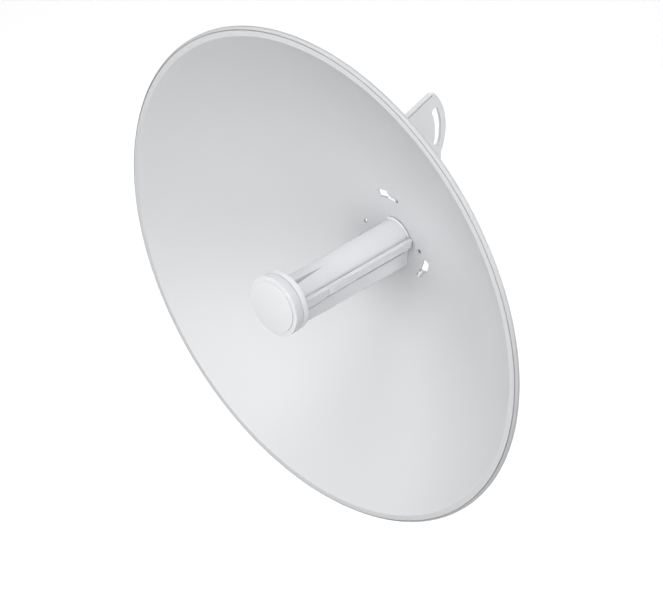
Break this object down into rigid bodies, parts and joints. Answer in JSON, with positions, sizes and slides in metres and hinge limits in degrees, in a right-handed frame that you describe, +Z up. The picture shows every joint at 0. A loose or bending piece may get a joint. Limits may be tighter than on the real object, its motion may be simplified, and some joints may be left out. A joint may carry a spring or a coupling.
{
  "type": "parabolic dish antenna",
  "caption": "Round parabolic dish antenna with a tube feed on its axis and a slotted steel bracket behind it.",
  "frame": {"origin": "on the +X face of the bracket's ear, between the pivot hole and the arc slot", "axes": "+X out of the ear's face towards the dish axis, -Y along the dish's boresight, +Z up"},
  "size_m": [0.52, 0.2717, 0.52],
  "materials": {
    "dish_paint": "semi-gloss powder coat",
    "white_plastic": "fine satin",
    "dark_plastic": "fine satin",
    "zinc_steel": "zinc plated"
  },
  "bodies": {
    "root": {"dish_reflector": "dish_paint", "feed_cap": "white_plastic", "feed_cap_disc": "white_plastic", "feed_collar": "white_plastic", "feed_upper_shell": "white_plastic", "feed_lower_shell": "white_plastic", "feed_rail_right": "white_plastic", "feed_rail_left": "white_plastic", "feed_side_pad": "white_plastic", "feed_base_lip": "white_plastic", "rear_hub": "dark_plastic", "hub_lug_top": "white_plastic", "hub_lug_right": "white_plastic", "hub_lug_left": "white_plastic", "rear_housing": "white_plastic", "rear_cover": "white_plastic", "cable_gland": "dark_plastic", "bracket_foot": "dish_paint", "bracket_ear": "dish_paint", "bracket_gusset": "dish_paint", "foot_bolt_1": "zinc_steel", "foot_bolt_2": "zinc_steel", "foot_bolt_3": "zinc_steel", "foot_bolt_4": "zinc_steel", "ground_screw": "zinc_steel"}
  },
  "joints": []
}
